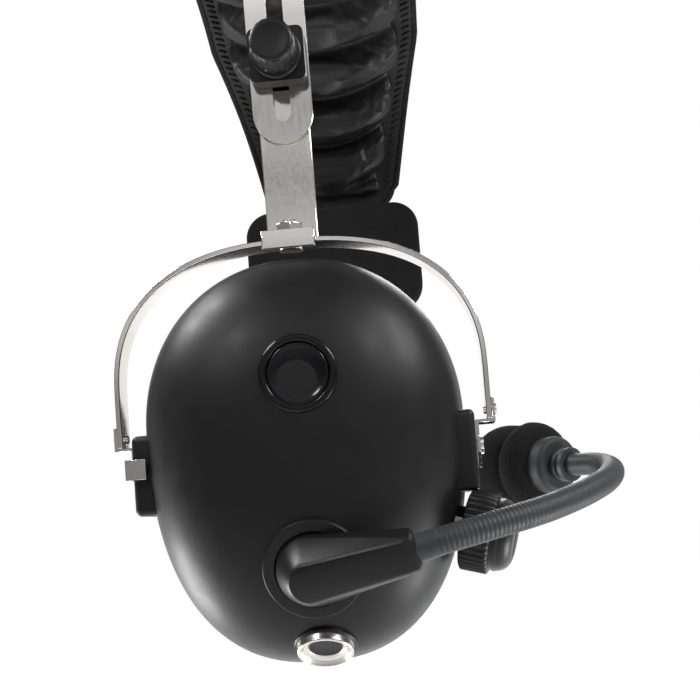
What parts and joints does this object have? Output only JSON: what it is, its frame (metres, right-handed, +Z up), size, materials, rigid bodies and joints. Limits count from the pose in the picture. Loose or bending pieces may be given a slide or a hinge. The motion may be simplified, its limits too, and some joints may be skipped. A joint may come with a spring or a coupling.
{
  "type": "aviation headset",
  "caption": "Single-ear aviation headset with padded spring headband, temple pad, tilting ear cup, push-to-talk switch and flexible boom microphone.",
  "frame": {"origin": "middle of the wearer's head at ear height, level with the ear cup's tilt pins", "axes": "+X is the wearer's forward, +Y runs from the ear cup to the temple pad, +Z is up towards the crown of the headband"},
  "size_m": [0.1355, 0.226, 0.2536],
  "materials": {
    "spring_steel": "bright polished spring steel",
    "nickel": "polished nickel plate",
    "leatherette": "satin black leatherette",
    "webbing": "black woven tape",
    "pad_foam": "matte black foam",
    "cup_plastic": "satin black fine-textured plastic",
    "black_plastic": "black moulded plastic",
    "gloss_black": "gloss black plastic",
    "boom_rubber": "dark grey rubber",
    "board": "green circuit board",
    "contact_brass": "plated brass"
  },
  "bodies": {
    "headband": {"headband_spring": "spring_steel", "head_cushion": "leatherette", "cushion_backing": "leatherette", "edge_binding": "webbing", "cushion_straps": "webbing"},
    "cup_slide": {"cup_strap": "nickel", "cup_clamp_block": "black_plastic", "cup_clamp_screw": "nickel", "stirrup_bolt": "nickel", "stirrup_nut": "nickel"},
    "cup_clamp": {"cup_clamp_knob": "black_plastic"},
    "stirrup_body": {"stirrup": "nickel", "front_pivot_clip": "nickel", "rear_pivot_clip": "nickel", "clip_rivets": "nickel", "pivot_pins": "nickel"},
    "ear_cup": {"cup_shell": "cup_plastic", "baffle_plate": "black_plastic", "housing_screws": "nickel", "earphone_driver": "black_plastic", "driver_retainer": "black_plastic", "ear_seal": "leatherette", "seal_foam": "pad_foam", "acoustic_foam": "pad_foam", "circuit_board": "board", "board_screws": "nickel", "ptt_bezel": "gloss_black", "ptt_nut": "black_plastic", "ptt_spring": "nickel", "ptt_switch": "black_plastic", "volume_pot": "black_plastic", "volume_pot_nut": "nickel", "jack_body": "nickel", "jack_bezel_nut": "nickel", "jack_contacts": "contact_brass", "boom_base_ring": "black_plastic", "boom_washer": "nickel"},
    "talk_button": {"ptt_button": "gloss_black"},
    "volume_control": {"volume_knob": "black_plastic"},
    "boom": {"boom_arm": "black_plastic", "boom_lock_nut": "nickel", "boom_gooseneck": "boom_rubber", "mic_collar": "boom_rubber", "mic_housing": "black_plastic", "mic_capsule": "nickel", "mic_windscreen": "pad_foam"},
    "temple_slider": {"temple_strap": "nickel", "temple_clamp_block": "black_plastic", "temple_clamp_screw": "nickel"},
    "temple_clamp": {"temple_clamp_knob": "black_plastic"},
    "temple_rest": {"temple_hinge_pin": "nickel", "temple_plate": "black_plastic", "temple_pad": "pad_foam"}
  },
  "joints": [
    {"name": "cup_slide_travel", "type": "slide", "parent": "headband", "child": "cup_slide", "axis": [0, -0.0785, 0.9969], "range_m": [-0.014, 0.008]},
    {"name": "cup_clamp_turn", "type": "hinge", "parent": "cup_slide", "child": "cup_clamp", "pos_m": [0, -0.084, 0.11], "axis": [0, -0.9969, -0.0785], "range_deg": [-180, 180]},
    {"name": "stirrup_swivel", "type": "hinge", "parent": "cup_slide", "child": "stirrup_body", "pos_m": [0, -0.087, 0.058], "axis": [0, 0, 1], "range_deg": [-8, 8]},
    {"name": "cup_tilt", "type": "hinge", "parent": "stirrup_body", "child": "ear_cup", "pos_m": [0, -0.087, 0], "axis": [1, 0, 0], "range_deg": [-12, 12]},
    {"name": "boom_turn", "type": "hinge", "parent": "ear_cup", "child": "boom", "pos_m": [0.0025, -0.1102, -0.028], "axis": [0, -0.9659, -0.2588], "range_deg": [-190, 18]},
    {"name": "talk_button_press", "type": "slide", "parent": "ear_cup", "child": "talk_button", "axis": [0, 1, 0], "range_m": [0, 0.0015], "stiffness_N_per_m": 600, "springref_m": -0.001, "deforming": ["ptt_spring"]},
    {"name": "volume_turn", "type": "hinge", "parent": "ear_cup", "child": "volume_control", "pos_m": [0.03829, -0.09, -0.021], "axis": [0.9448, -0.2008, -0.2588], "range_deg": [-150, 150]},
    {"name": "temple_slide_travel", "type": "slide", "parent": "headband", "child": "temple_slider", "axis": [0, 0.0785, 0.9969], "range_m": [-0.014, 0]},
    {"name": "temple_clamp_turn", "type": "hinge", "parent": "temple_slider", "child": "temple_clamp", "pos_m": [0, 0.084, 0.11], "axis": [0, 0.9969, -0.0785], "range_deg": [-180, 180]},
    {"name": "temple_tilt", "type": "hinge", "parent": "temple_slider", "child": "temple_rest", "pos_m": [0, 0.07937, 0.097], "axis": [1, 0, 0], "range_deg": [-5, 15]}
  ]
}
